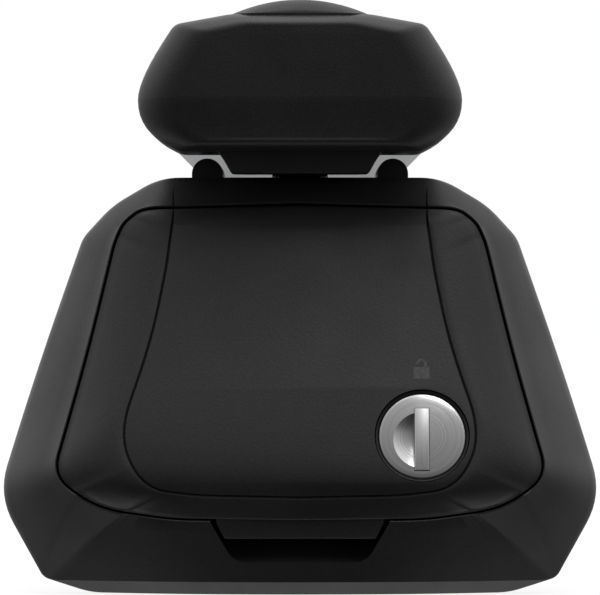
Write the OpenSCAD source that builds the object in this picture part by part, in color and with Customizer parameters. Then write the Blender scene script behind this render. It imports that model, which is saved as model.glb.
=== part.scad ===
// Crossbar unit of a raised-rail roof rack: an extruded bar, two end caps, a rubber strip and two lockable feet.
// Lengths are millimetres. X runs along the roof rail, Y along the bar and Z up, with the origin on the floor
// midway between the feet. A foot is drawn once, with y counted inwards from the bar's end.

/* [Crossbar] */
// Overall length over both end caps
total_l = 1180; // [900:10:1400]
// Width of the aluminium profile at its widest
bar_w = 62.4; // [54:0.2:70]
// Height of the profile's body above its keel
bar_h = 25.1; // [22:0.1:30]
// Width of the profile's flat top, under the strip
bar_crown_w = 27.2; // [25:0.2:30]
// Width of the keel at its foot
keel_w = 25.2; // [24:0.2:26.5]
// Height of the keel below the body
keel_h = 4.9; // [4.4:0.1:6]
// Wall of the extruded profile
bar_wall = 2; // [1.4:0.1:2.2]
// Opening of the slot in the keel
keel_slot_w = 8.8; // [8.4:0.1:9.4]
// Width of the chamber above the keel slot
keel_room_w = 20; // [19.6:0.2:20.6]
// Height of the chamber above the keel slot
keel_room_h = 5.2; // [5:0.1:6]
// Opening of the top slot
top_slot_w = 10.4; // [9:0.2:12]
// Width of the chamber under the top slot
top_room_w = 17; // [16:0.2:18]
// Depth of the top slot's chamber
top_room_h = 5; // [4:0.1:6]

/* [End cap and strip] */
// Wall of the cap's sleeve round the bar
cap_wall = 1; // [0.8:0.1:1.6]
// Clearance between the sleeve and the bar
cap_fit = 0.1; // [0.05:0.05:0.3]
// Length of the sleeve
cap_l = 60; // [40:1:80]
// Thickness of the cap's face
cap_face_t = 5; // [3:0.5:6]
// Rounding of the cap's sides
cap_round = 6.5; // [4:0.5:8]
// Height on the face below which it leans back
cap_break_z = 98.7; // [96:0.1:102]
// Depth of the keel lip behind the cap's face
lip_setback = 7; // [5:0.5:9]
// End of the keel lip, short of the foot's horns
lip_end = 28; // [20:1:29]
// Width of the keel lip at its foot
lip_foot_w = 27.4; // [27:0.2:30]
// Width of the keel lip where it meets the body
lip_root_w = 32.8; // [31:0.2:36]
// Height of the hump over the strip's end
hump_h = 3; // [2:0.1:4]
// Height of the strip's crown above the bar
strip_h = 3.6; // [2:0.1:4]
// Clearance of the strip in its slot
strip_fit = 0.3; // [0.1:0.05:0.5]

/* [Foot outline] */
// Height of the foot
foot_h = 83.4; // [80:0.2:90]
// Half width of the flat top
top_hw = 28; // [26:0.2:30]
// Half width at the shoulder
shoulder_hw = 37.5; // [36:0.1:39]
// Drop of the shoulder below the top
shoulder_drop = 5.8; // [4:0.1:7]
// Half width at the knee below the shoulder
knee_hw = 43.3; // [42:0.1:45]
// Drop of the knee below the top
knee_drop = 12.2; // [11:0.1:14]
// Half width halfway down the side
mid_hw = 52.4; // [50:0.1:54]
// Height of the halfway point
mid_z = 45; // [42:0.5:50]
// Half width at the widest corner
wide_hw = 60.9; // [58:0.1:64]
// Height of the widest corner
wide_z = 19.4; // [17:0.1:22]
// Half width of the base
base_hw = 49.6; // [46:0.1:54]

/* [Foot front] */
// Inset of the front panel's foremost ridge from the bar's end
front_y = 6; // [4:0.5:10]
// Height of the foremost ridge
ridge_z = 22; // [20:0.1:24]
// Softness of the ridge
ridge_soft = 4; // [2:0.5:6]
// Backward lean of the front above the ridge
lean = 0.3; // [0.2:0.01:0.36]
// Sweep of the flanks for each square millimetre of half width
flank_bow = 0.0055; // [0.004:0.0005:0.006]
// Height of the chamfer band along the base
band_h = 2.6; // [2:0.1:4]
// Slope of the chamfer band
band_slope = 1.1; // [0.8:0.1:1.5]
// Wall of the housing
housing_wall = 3; // [2.4:0.1:3.4]
// Depth of the whole foot, from the bar's end to its rear rim
foot_back = 88; // [86:0.5:94]

/* [Cover] */
// Gap round the cover
seam_gap = 0.4; // [0.3:0.05:0.5]
// Wall of the cover
cover_wall = 2.6; // [2.4:0.1:3]
// Rounding of the cover's edge
cover_edge = 0.5; // [0.3:0.1:0.8]
// Depth of the groove round the middle panel
groove_d = 0.35; // [0.2:0.05:0.5]
// Half width of the grip lip at its root
grip_root_hw = 16.7; // [14:0.1:18]
// Half width of the grip lip at its edge
grip_edge_hw = 15.1; // [12:0.1:16]
// Height of the grip lip's lower edge
grip_z = 11.3; // [11:0.1:12]
// Half width of the finger recess at its mouth
recess_mouth_hw = 17.9; // [17.4:0.1:18.4]
// Half width of the finger recess at its floor
recess_floor_hw = 13.2; // [12:0.1:14]
// Height of the finger recess's floor
recess_floor_z = 6.6; // [6.2:0.1:7]
// Radius of the scoop in the finger recess
scoop_r = 10; // [9:0.1:10.5]
// Distance of an ear from the middle
ear_x = 14; // [12:0.5:16]
// Thickness of an ear
ear_t = 4; // [3:0.5:5]
// Radius of the hinge wire
pin_r = 0.8; // [0.7:0.05:0.9]
// Running clearance of the hinge wire
pin_fit = 0.06; // [0.03:0.01:0.1]
// Radius of the cover's hinge barrel
barrel_r = 2.1; // [2:0.05:2.3]
// Half length of the hinge barrel
barrel_hl = 22; // [20:0.5:24]

/* [Lock] */
// Distance of the lock from the widest corner
lock_in = 36.6; // [35.4:0.1:37.9]
// Height of the lock's centre
lock_z = 31.8; // [31:0.1:34]
// Tilt of the lock, square to the front around it
lock_tilt = 14; // [12:0.5:16]
// Outer radius of the lock's ring
ring_r = 9.35; // [9:0.05:9.6]
// Radius of the turning core
core_r = 8.66; // [8.4:0.02:8.8]
// Running clearance of the core
core_fit = 0.06; // [0.03:0.01:0.1]
// Length of the lock's sleeve
lock_l = 9; // [8:0.5:10]
// Width of the key flap
flap_w = 2.76; // [2.4:0.02:3]
// Height of the key flap
flap_h = 12.3; // [11:0.1:13]
// Reach of the cam from the lock's axis
cam_reach = 18; // [17:0.1:19]
// Width of the cam
cam_w = 7; // [6:0.1:7.4]
// Thickness of the cam
cam_t = 1.5; // [1:0.1:1.8]

/* [Bar clamp] */
// Gap from the foot's top to the keel
bar_gap = 1.2; // [1:0.1:2]
// Distance of the guide horns from the middle
horn_x = 15.6; // [15.2:0.1:16.4]
// Thickness of a guide horn
horn_t = 6.2; // [5:0.1:6.4]
// Height of the horns above the foot's top
horn_h = 3.9; // [3:0.1:4.2]
// Half width of the neck in the keel slot
neck_hw = 3.8; // [3.4:0.05:3.9]
// Length of the clamp's head along the bar
clamp_l = 38; // [30:1:40]

/* [Rail clamp] */
// Start of the rail channel, at the outer plate's face
channel_y = 34; // [33:0.5:36]
// Height of the channel's roof
roof_z = 38; // [37:0.5:40]
// Height of the tension screw
screw_z = 52; // [51:0.5:54]
// Radius of the tension screw's shank
screw_r = 4; // [3:0.5:4]
// Running clearance of the shank in the nut
screw_fit = 0.06; // [0.03:0.01:0.1]
// Radius of the screw's head
head_r = 6.5; // [6:0.1:7]
// Distance of the jaw's inner face from the bar's end, open
jaw_y = 74; // [72:0.5:76]
// Thickness of the jaw
jaw_t = 10; // [9:0.5:10.5]
// Half width of the jaw
jaw_hw = 18; // [16:0.5:19]
// Height of the jaw's hook above the floor
hook_z = 4; // [3:0.5:6]
// Reach of the hook under the rail
hook_l = 12; // [8:0.5:14]
// Thickness of the rubber pads
pad_t = 2.6; // [2:0.1:3]

/* [Hidden] */
$fn = 64;
eps = 0.01;
// Bezier steps at a corner of a lofted outline
steps = 3;

// Heights that follow the foot
bar_z = foot_h + bar_gap;
body_z = bar_z + keel_h;
crown_z = body_z + bar_h;
cap_out = cap_fit + cap_wall;

// Outline of the foot, from the top down its right side: half width, height, rounding cut
foot_corners = [
    [top_hw, foot_h, 4],
    [shoulder_hw, foot_h - shoulder_drop, 4],
    [knee_hw, foot_h - knee_drop, 4],
    [mid_hw, mid_z, 14],
    [wide_hw, wide_z, 6.5],
    [base_hw, 0, 5],
    [base_hw / 2, 0, 8]
];
// The cover's seam and the middle panel's groove, as offsets from those corners, with their own cuts
seam_offsets = [[3.5, -6.5, 3.5], [-2.3, -3.5, 2.2], [-6.3, -1.2, 2.2], [-10.2, 3, 14], [-11.9, 4.4, 4.2],
    [-9.4, 17.5, 5], [0.2, 15.4, 8]];
groove_offsets = [[-2.5, -9, 1], [-11.5, -6.6, 3], [-16.5, -6.2, 3], [-22.8, 6, 8], [-24.7, 12.1, 7.5],
    [-18.6, 21.4, 5], [-4.8, 20, 6]];
strip_edge = 5.6;
seam_foot_z = 15.1;
groove_foot_z = 19.6;
seam_corners = [for (i = [0:len(foot_corners) - 1])
    [foot_corners[i][0] + seam_offsets[i][0], foot_corners[i][1] + seam_offsets[i][1], seam_offsets[i][2]]];
groove_corners = [for (i = [0:len(foot_corners) - 1])
    [foot_corners[i][0] + groove_offsets[i][0], foot_corners[i][1] + groove_offsets[i][1], groove_offsets[i][2]]];

// Plane geometry helpers
function lerp(a, b, t) = a + (b - a) * t;
function unit(v) = v / norm(v);
function bezier(a, p, b, n) = [for (i = [0:n]) let (t = i / n)
    (1 - t) * (1 - t) * a + 2 * t * (1 - t) * p + t * t * b];
// Right half of an outline, with each corner rounded over its cut or as far as the sides allow
function half_outline(top, corners, foot, n) =
    let (p = concat([top], [for (c = corners) [c[0], c[1]]], [foot]))
    [top, for (i = [1:len(corners)])
        let (a = p[i - 1] - p[i], b = p[i + 1] - p[i], u = unit(a), w = unit(b),
            c = min(corners[i - 1][2], 0.48 * norm(a), 0.48 * norm(b)))
        each c == 0 ? [p[i]] : bezier(p[i] + c * u, p[i], p[i] + c * w, n), foot];
// Whole outline, clockwise from the top as seen from the front
function whole(half) = concat(half, [for (i = [len(half) - 2:-1:1]) [-half[i][0], half[i][1]]]);
// Each point of a clockwise outline moved outwards by d
function outset(ring, d) = let (n = len(ring)) [for (i = [0:n - 1])
    let (t = unit(ring[(i + 1) % n] - ring[(i + n - 1) % n]))
    ring[i] + d * [-t[1], t[0]]];

foot_ring = whole(half_outline([0, foot_h], foot_corners, [0, 0], steps));
seam_ring = whole(half_outline([0, foot_h - strip_edge], seam_corners, [0, seam_foot_z], steps));
groove_ring = whole(half_outline([0, foot_h - 8.9], groove_corners, [0, groove_foot_z], steps));
ring_n = len(foot_ring);

// Share of the flank between groove and silhouette at which the seam runs
seam_share = 0.5;
// Outline of the front at a share of the flank: 0 at the groove, 1 at the silhouette
function ring_at(f) = [for (i = [0:ring_n - 1])
    f < seam_share ? lerp(groove_ring[i], seam_ring[i], f / seam_share)
        : lerp(seam_ring[i], foot_ring[i], (f - seam_share) / (1 - seam_share))];
// Depth of the middle panel at a height
function front_at(z) = front_y + lean * (sqrt((z - ridge_z) ^ 2 + ridge_soft ^ 2) - ridge_soft);
// Depth of the front at a point of an outline
top_edge_round = 1.2;
function depth_at(p, i, f) = front_at(p[1]) + flank_bow * foot_ring[i][0] ^ 2 * f ^ 2
    + band_slope * max(0, band_h - p[1]) + max(0, p[1] - foot_h + top_edge_round);
// An outline set on the front, offset by out in its plane and by back in depth
function on_front(f, out = 0, back = 0) = let (r = outset(ring_at(f), out)) [for (i = [0:ring_n - 1])
    [r[i][0], depth_at(r[i], i, f) + back, r[i][1]]];
function at_depth(ring, y) = [for (p = ring) [p[0], y, p[1]]];

// Faces between outlines of equal count, and across the first and last of a symmetric stack
function side_faces(rows, n, closed) = [for (k = [0:rows - (closed ? 1 : 2)], i = [0:n - 1])
    let (a = k * n + i, b = k * n + (i + 1) % n, c = ((k + 1) % rows) * n + (i + 1) % n, d = ((k + 1) % rows) * n + i)
    each [[a, d, c], [a, c, b]]];
function end_faces(base, n, flip) = [for (i = [0:n / 2 - 1])
    let (r0 = base + i, r1 = base + i + 1, l0 = base + (n - i) % n, l1 = base + n - i - 1)
    each concat(i == 0 ? [] : [flip ? [r0, l0, l1] : [r0, l1, l0]],
        i == n / 2 - 1 ? [] : [flip ? [r0, l1, r1] : [r0, r1, l1]])];

// Closed skin over outlines, from a front end to a back end
module skin(rings) {
    n = len(rings[0]);
    rows = len(rings);
    polyhedron([for (r = rings) each r],
        concat(end_faces(0, n, false), side_faces(rows, n, false), end_faces((rows - 1) * n, n, true)));
}
// Closed skin over outlines without centre points, with strips across both ends
module strip_skin(rings) {
    n = len(rings[0]);
    last = (len(rings) - 1) * n;
    polyhedron([for (r = rings) each r], concat(
        [for (i = [0:n / 2 - 2]) [i, i + 1, n - 2 - i, n - 1 - i]],
        side_faces(len(rings), n, false),
        [for (i = [0:n / 2 - 2]) [last + n - 1 - i, last + n - 2 - i, last + i + 1, last + i]]));
}
// Closed skin over outlines that return to the first, round an open window
module frame_skin(rings) {
    polyhedron([for (r = rings) each r], side_faces(len(rings), len(rings[0]), true));
}
// A plane outline in X and Z, extruded along Y from y0 to y1
module along_y(outline, y0, y1) {
    translate([0, y1, 0]) rotate([90, 0, 0]) linear_extrude(y1 - y0) polygon(outline);
}
// A plane outline in Y and Z, extruded across X from x0 to x1
module across_x(outline, x0, x1) {
    translate([x0, 0, 0]) rotate([90, 0, 90]) linear_extrude(x1 - x0) polygon(outline);
}
module block(x0, x1, y0, y1, z0, z1) {
    translate([x0, y0, z0]) cube([x1 - x0, y1 - y0, z1 - z0]);
}
module rod_y(x, z, r, y0, y1) {
    translate([x, y1, z]) rotate([90, 0, 0]) cylinder(r = r, h = y1 - y0);
}
// Places a foot's pieces at one end of the bar: 0 is the left end, 1 the right
module at_end(side) {
    rotate([0, 0, 180 * side]) translate([0, -total_l / 2, 0]) children();
}

// Crossbar: outline of the profile with its keel, and of its body alone
bar_hw = bar_w / 2;
bar_body_corners = [
    [bar_crown_w / 2, crown_z, 1],
    [bar_hw - 7.2, crown_z - 1.5, 1.6],
    [bar_hw - 0.1, body_z + 12, 3.3],
    [bar_hw + 0.1, body_z + 5.8, 3.6],
    [bar_hw - 5.7, body_z, 3.2]
];
bar_keel_corners = [[keel_w / 2 + 0.8, body_z, 0.8], [keel_w / 2, bar_z, 0.6]];
bar_body_ring = whole(half_outline([0, crown_z], bar_body_corners, [0, body_z], steps));
bar_ring = whole(half_outline([0, crown_z], concat(bar_body_corners, bar_keel_corners), [0, bar_z], steps));
keel_room_z = bar_z + bar_wall;
top_room_z = crown_z - bar_wall - top_room_h;
web_x = keel_room_w / 2 + bar_wall;
room_x = bar_hw - bar_wall;
// Chamber on each side of the profile, a wall's thickness inside its faces
side_room = [[web_x, crown_z - bar_wall], [room_x - 6.5, crown_z - bar_wall - 1.4], [room_x, body_z + 11],
    [room_x, body_z + 6.6], [room_x - 4.5, body_z + bar_wall], [web_x, body_z + bar_wall]];
// Room between the inside of the lip's front and the bar's end
bar_end_y = lip_setback + 2;

module bar() {
    half_l = total_l / 2 - bar_end_y;
    over = half_l + 1;
    color("silver") difference() {
        along_y(bar_ring, -half_l, half_l);
        for (s = [0, 1]) mirror([s, 0, 0]) along_y(side_room, -over, over);
        block(bar_wall - web_x, web_x - bar_wall, -over, over,
            keel_room_z + keel_room_h + bar_wall, top_room_z - bar_wall);
        block(-keel_slot_w / 2, keel_slot_w / 2, -over, over, bar_z - 1, keel_room_z + 1);
        block(-keel_room_w / 2, keel_room_w / 2, -over, over, keel_room_z, keel_room_z + keel_room_h);
        block(-top_slot_w / 2, top_slot_w / 2, -over, over, top_room_z + 1, crown_z + 1);
        block(-top_room_w / 2, top_room_w / 2, -over, over, top_room_z, top_room_z + top_room_h);
    }
}

// Quarter turns of a rounded front edge, from the face to the side
edge_steps = 4;
face_lean = 0.12;
cap_mid_z = body_z + bar_h / 2;
function cap_section(a) = let (in = cap_round * (1 - sin(a)), kx = 1 - in / (bar_w / 2), kz = 1 - 0.35 * in / (bar_h / 2))
    [for (p = outset(bar_body_ring, cap_out)) if (abs(p[0]) > eps) let (z = cap_mid_z + (p[1] - cap_mid_z) * kz)
        [p[0] * kx, cap_round * (1 - cos(a)) + face_lean * max(0, cap_break_z - z) * (1 - sin(a)), z]];
// Section of the hump over the strip, at a share of its height, its base sunk in the sleeve
hump_hw = bar_crown_w / 2;
hump_nose_y = 3;
hump_nose_l = 9;
hump_shares = [0.06, 0.3, 0.55, 0.8, 1];
function hump_section(t) = let (
    base = crown_z + cap_out, rise = sin(t * 90), w = hump_hw * lerp(0.7, 1, rise),
    half = concat([for (a = [7.5:15:83]) [w * sin(a), base + hump_h * rise * cos(a)]], [[w, base - cap_wall / 2]]))
    at_depth(concat(half, [for (i = [len(half) - 1:-1:0]) [-half[i][0], half[i][1]]]),
        hump_nose_y + hump_nose_l * (1 - cos(t * 90)));
function shifted(ring, y) = [for (p = ring) [p[0], y, p[2]]];

module end_cap(side) {
    sections = [for (k = [0:edge_steps]) cap_section(k * 90 / edge_steps)];
    humps = [for (t = hump_shares) hump_section(t)];
    lip_root_z = body_z - cap_out / 2;
    lip_foot_z = bar_z - cap_wall * 0.6;
    lip = whole(half_outline([0, lip_root_z], [
        [lip_root_w / 2 + 0.4, lip_root_z, 0],
        [lerp(lip_root_w, lip_foot_w, 0.4) / 2, body_z - cap_out - 1.7, 0.9],
        [lip_foot_w / 2, lip_foot_z, 0.7]
    ], [0, lip_foot_z], steps));
    keel_foot = keel_w / 2 + cap_fit;
    keel_root = keel_foot + 1.3;
    keel_room = [[-keel_foot, bar_z - cap_fit], [-keel_root, body_z + 0.5], [keel_root, body_z + 0.5],
        [keel_foot, bar_z - cap_fit]];
    color([0.1, 0.1, 0.1]) at_end(side) difference() {
        union() {
            strip_skin(concat(sections, [shifted(sections[edge_steps], cap_l)]));
            strip_skin(concat(humps, [shifted(humps[len(humps) - 1], cap_l - 0.5)]));
            along_y(lip, lip_setback, lip_end);
        }
        along_y(outset(bar_body_ring, cap_fit), cap_face_t, cap_l + 1);
        along_y(keel_room, bar_end_y - cap_fit, cap_l + 1);
    }
}

module top_strip() {
    crown_hw = bar_crown_w / 2 - 0.2;
    neck = top_slot_w / 2 - strip_fit;
    foot = top_room_w / 2 - strip_fit;
    foot_top = top_room_z + top_room_h - strip_fit;
    foot_t = 1.8;
    half_l = total_l / 2 - cap_l - 0.5;
    color([0.08, 0.08, 0.08]) along_y(whole(concat(
        [for (a = [0:11.25:90]) [crown_hw * sin(a), crown_z + strip_h * cos(a)]],
        [[neck, crown_z], [neck, foot_top], [foot, foot_top], [foot, foot_top - foot_t], [0, foot_top - foot_t]]
    )), -half_l, half_l);
}

// Hinge of the cover, just behind the top of its front
hinge_z = foot_h - strip_edge - 3.2;
hinge_y = front_at(hinge_z) + 2.6;
ear_gap = 0.4;
ear_r = 1.3;
skin_t = 0.9;
undercut = 1.8;
// Outline of the window's inner edge, undercut along the top so that the cover's edge can swing past
function window_back() = let (r = outset(seam_ring, seam_gap)) [for (i = [0:ring_n - 1])
    let (rise = undercut * max(0, 1 - (foot_h - strip_edge + seam_gap - r[i][1]) / 6))
    [r[i][0], depth_at(r[i], i, seam_share) + housing_wall, r[i][1] + rise]];
// Share of the flank at which the chamfer band starts
band_share = seam_share + (1 - seam_share) * (1 - band_h / seam_foot_z);
rim_round = 1;
scoop_hw = 19.5;
scoop_y = 17;
inner_ring = outset(foot_ring, -housing_wall);

module housing(side) {
    top_gap_x = horn_x + horn_t + 0.6;
    sunk = housing_wall - 0.5;
    color([0.12, 0.12, 0.12]) at_end(side) difference() {
        union() {
            frame_skin([
                on_front(seam_share, seam_gap, cover_edge),
                on_front(seam_share, seam_gap + cover_edge),
                on_front(0.72),
                on_front(band_share),
                on_front(1),
                at_depth(foot_ring, foot_back - rim_round),
                at_depth(outset(foot_ring, -rim_round), foot_back),
                at_depth(inner_ring, foot_back),
                [for (i = [0:ring_n - 1]) [inner_ring[i][0], depth_at(foot_ring[i], i, 1) + 1.5, inner_ring[i][1]]],
                on_front(0.75, -1, housing_wall),
                window_back()
            ]);
            for (s = [0, 1]) mirror([s, 0, 0]) ear();
            across_x([[front_at(seam_foot_z) + sunk, seam_foot_z], [front_at(sunk) + sunk, sunk], [scoop_y, sunk],
                [scoop_y, seam_foot_z]], -scoop_hw, scoop_hw);
        }
        channel_cut();
        block(-top_gap_x, top_gap_x, channel_y - 4, foot_back + 1, foot_h - housing_wall - 1, foot_h + 1);
        finger_scoop();
        for (s = [0, 1]) mirror([s, 0, 0]) wire(pin_r + 0.02, ear_x - 1, ear_x + ear_t + 1);
    }
}
// Ear that carries the hinge wire, hung from the top wall
module ear() {
    back = hinge_y + 5.8;
    arm = hinge_y + 3.1;
    across_x([[hinge_y, hinge_z - ear_r], [back, hinge_z - ear_r], [back, foot_h - 1.5], [arm, foot_h - 1.5],
        [arm, hinge_z + 0.4], [hinge_y, hinge_z + 0.4]], ear_x, ear_x + ear_t);
    wire(ear_r, ear_x, ear_x + ear_t);
}
module wire(r, x0, x1) {
    translate([x0, hinge_y, hinge_z]) rotate([0, 90, 0]) cylinder(r = r, h = x1 - x0);
}
// Space for the rail, open below and across the whole foot
module channel_cut() {
    soft = 3;
    far = 2 * wide_hw;
    across_x([[channel_y, -1], [channel_y, roof_z - soft], [channel_y + soft, roof_z], [foot_back + 1, roof_z],
        [foot_back + 1, -1]], -far, far);
}
// Finger recess below the grip lip, with a round scooped back
module finger_scoop() {
    soft = 2.5;
    mouth_z = seam_foot_z + seam_gap;
    mouth = whole(half_outline([0, mouth_z + 2], [
        [recess_mouth_hw, mouth_z + 2, 0],
        [recess_mouth_hw, mouth_z - 0.8, 0.4],
        [recess_floor_hw, recess_floor_z, soft]
    ], [0, recess_floor_z], steps));
    intersection() {
        along_y(mouth, -1, scoop_y - 1);
        translate([-wide_hw, front_y, mouth_z - 0.8]) rotate([0, 90, 0]) cylinder(r = scoop_r, h = 2 * wide_hw);
    }
    along_y(mouth, -1, front_y + 3);
}

module cover(side) {
    bore = ring_r + 0.1;
    seat = 0.1;
    color([0.14, 0.14, 0.14]) at_end(side) difference() {
        union() {
            difference() {
                skin([
                    on_front(0, -0.25),
                    groove_row(),
                    on_front(0, 0.25),
                    on_front(0.25),
                    on_front(seam_share, -cover_edge),
                    on_front(seam_share, 0, cover_edge),
                    on_front(seam_share, 0, cover_wall - 0.3),
                    on_front(0.25, 0, cover_wall),
                    on_front(0, 0, cover_wall)
                ]);
                at_lock() translate([0, 0, -lock_l]) linear_extrude(2 * lock_l)
                    polygon([for (a = [1.5:7.5:359]) bore * [cos(a), sin(a)]]);
                for (s = [0, 1]) mirror([s, 0, 0]) ear_slot();
            }
            wire(barrel_r, ear_gap + seat - ear_x, ear_x - ear_gap - seat);
            for (s = [0, 1]) mirror([s, 0, 0]) wire(barrel_r, ear_x + ear_t + ear_gap + seat, barrel_hl);
            grip_lip();
        }
        wire(pin_r + pin_fit, -barrel_hl - 1, barrel_hl + 1);
    }
}
// The groove fades out below the hinge
function groove_row() = [for (p = on_front(0))
    [p[0], p[1] + groove_d * min(1, max(0.1, (foot_h - 10 - p[2]) / 3)), p[2]]];
module ear_slot() {
    low = hinge_z - 3.6;
    high = foot_h - strip_edge + 0.8;
    across_x([[front_at(low) + skin_t, low], [front_at(high) + skin_t, high], [hinge_y + 8, high],
        [hinge_y + 8, low]], ear_x - ear_gap, ear_x + ear_t + ear_gap);
}
// Lip that the fingers pull, a plate that follows the lower front
module grip_lip() {
    lip_t = 2;
    root_z = seam_foot_z + 2;
    set_in = 0.7;
    intersection() {
        along_y([[-grip_root_hw, root_z], [grip_root_hw, root_z], [grip_root_hw, seam_foot_z - 0.6],
            [grip_edge_hw, grip_z], [-grip_edge_hw, grip_z], [-grip_root_hw, seam_foot_z - 0.6]], 0, 2 * scoop_y);
        across_x([[front_at(root_z) + set_in, root_z], [front_at(grip_z) + set_in, grip_z],
            [front_at(grip_z) + set_in + lip_t, grip_z], [front_at(root_z) + set_in + lip_t, root_z]],
            -wide_hw, wide_hw);
    }
}
module hinge_pin(side) {
    color("silver") at_end(side) wire(pin_r, 0.5 - barrel_hl, barrel_hl - 0.5);
}

// Lock: its own axis is +Z outwards, square to the front around it
lock_x = wide_hw - lock_in;
lock_span = ring_r * cos(lock_tilt);
lock_y = (front_at(lock_z - lock_span) + front_at(lock_z + lock_span)) / 2 + 0.3;
core_back = 1.2;
core_face = -0.25;
cam_z = -lock_l - 0.2;
flap_x = 0.1;
flap_drop = 0.76;
flap_t = 2;
module at_lock() {
    translate([lock_x, lock_y, lock_z]) rotate([90 - lock_tilt, 0, 0]) children();
}
module lock_housing(side) {
    collar_z = -3;
    collar_t = 1.6;
    rim = 0.35;
    color([0.06, 0.06, 0.06]) at_end(side) at_lock() difference() {
        union() {
            translate([0, 0, -lock_l]) cylinder(r = ring_r, h = lock_l - rim);
            translate([0, 0, -rim]) cylinder(r1 = ring_r, r2 = ring_r - rim, h = rim);
            translate([0, 0, collar_z - collar_t]) cylinder(r = ring_r + 1.3, h = collar_t);
        }
        translate([0, 0, core_back - lock_l]) cylinder(r = core_r + core_fit, h = lock_l);
        translate([0, 0, -lock_l - 1]) cylinder(r = core_r - 1.5, h = lock_l);
    }
}
module lock_core(side) {
    scoop_r2 = 5.6;
    scoop_d = 0.7;
    stub_r = 2.9;
    color([0.8, 0.8, 0.8]) at_end(side) at_lock() difference() {
        union() {
            translate([0, 0, core_back - lock_l + 0.1]) cylinder(r = core_r, h = lock_l - core_back - 0.1 + core_face);
            translate([0, 0, cam_z + 0.1]) cylinder(r = core_r - 1.6, h = lock_l / 2);
            translate([0, 0, cam_z - cam_t]) cylinder(r = stub_r, h = lock_l / 2);
        }
        translate([flap_x - flap_w / 2 - 0.06, -flap_drop - flap_h / 2 - 0.06, -6])
            cube([flap_w + 0.12, flap_h + 0.12, 7]);
        intersection() {
            translate([0, -flap_drop - 0.1, core_face - scoop_d]) cylinder(r = scoop_r2, h = 2);
            translate([-core_r, -core_r, -3]) cube([core_r - flap_w / 2, 2 * core_r, 5]);
        }
        translate([0, 0, cam_z - cam_t - 1]) cylinder(r = 1.26, h = 4);
    }
}
module key_shutter(side) {
    color([0.7, 0.7, 0.72]) at_end(side) at_lock()
        translate([flap_x - flap_w / 2, -flap_drop - flap_h / 2, -0.1 - flap_t]) cube([flap_w, flap_h, flap_t]);
}
module lock_cam(side) {
    hub_r = 6;
    color("silver") at_end(side) at_lock() translate([0, 0, cam_z - cam_t]) difference() {
        union() {
            cylinder(r = hub_r, h = cam_t);
            translate([0, -cam_w / 2, 0]) cube([cam_reach - cam_w / 2, cam_w, cam_t]);
            translate([cam_reach - cam_w / 2, 0, 0]) cylinder(r = cam_w / 2, h = cam_t);
        }
        translate([0, 0, -1]) cylinder(r = 2.95, h = cam_t + 2);
    }
}
module cam_screw(side) {
    head = 1.4;
    color("silver") at_end(side) at_lock() translate([0, 0, cam_z - cam_t - head]) difference() {
        union() {
            cylinder(r = 4, h = head);
            cylinder(r = 1.2, h = head + 2.6);
        }
        translate([0, 0, -1]) cylinder(r = 1.7, h = 1.9, $fn = 6);
    }
}

// Inner load carrier
horn_y0 = channel_y - 3;
horn_y1 = foot_back - 6;
rib_hw = 5.6;
clamp_y0 = horn_y0 + 0.5;
shank_y0 = channel_y + 3;
shank_y1 = shank_y0 + 6;
shank_hw = 9;
plate_t = 4.5;
chassis_gap = 0.4;
guide_hw = 20.3;
guide_top = 66.3;
tongue_hw = 22.4;
tongue_z = 56;
tongue_t = 6;
jaw_travel = 13;
carriage_l = 18;
body_ring = outset(foot_ring, -housing_wall - chassis_gap);

module chassis(side) {
    cell_y = 46;
    cell_x = guide_hw + 5.2;
    cell_w = 7.6;
    rib_t = 2.2;
    floor_t = 4;
    guide_y = jaw_y + jaw_t - carriage_l - jaw_travel - 0.5;
    back = foot_back - 2;
    color([0.2, 0.2, 0.2]) at_end(side) difference() {
        union() {
            along_y(outset(foot_ring, -housing_wall - 2.6), channel_y - plate_t, channel_y);
            intersection() {
                along_y(body_ring, channel_y - eps, back);
                block(-wide_hw, wide_hw, 0, foot_back, roof_z, foot_h);
            }
            block(-rib_hw, rib_hw, horn_y0, horn_y1, foot_h - 8, bar_z);
            for (s = [0, 1]) mirror([s, 0, 0]) horn();
        }
        for (s = [0, 1]) mirror([s, 0, 0]) for (k = [0:2]) intersection() {
            along_y(outset(body_ring, -2.6), cell_y, back + 1);
            block(cell_x + k * (cell_w + rib_t), cell_x + k * (cell_w + rib_t) + cell_w, cell_y - 1, back + 1,
                roof_z + floor_t, foot_h);
        }
        block(-guide_hw, guide_hw, guide_y, back + 1, roof_z - 1, guide_top);
        block(-tongue_hw - 0.4, tongue_hw + 0.4, guide_y, back + 1, tongue_z - tongue_t - 0.3, tongue_z + 0.3);
        block(-shank_hw - 0.3, shank_hw + 0.3, shank_y0 - 0.3, shank_y1 + 0.3, roof_z + 5, foot_h - 5);
        block(-neck_hw - 0.1, neck_hw + 0.1, horn_y0 - 1, clamp_y0 + clamp_l + 0.5, foot_h - 7, bar_z + 1);
        rod_y(0, screw_z, screw_r + 0.3, 0, foot_back);
        for (s = [-1, 1]) rod_y(s * dot_x, dot_z, dot_r * 0.55 + 0.02, 0, horn_y0 + 4);
    }
}
module horn() {
    r = horn_t / 2;
    block(horn_x, horn_x + horn_t, horn_y0, horn_y1, foot_h - 8, foot_h + horn_h - r);
    rod_y(horn_x + r, foot_h + horn_h - r, r, horn_y0, horn_y1);
}

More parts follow.
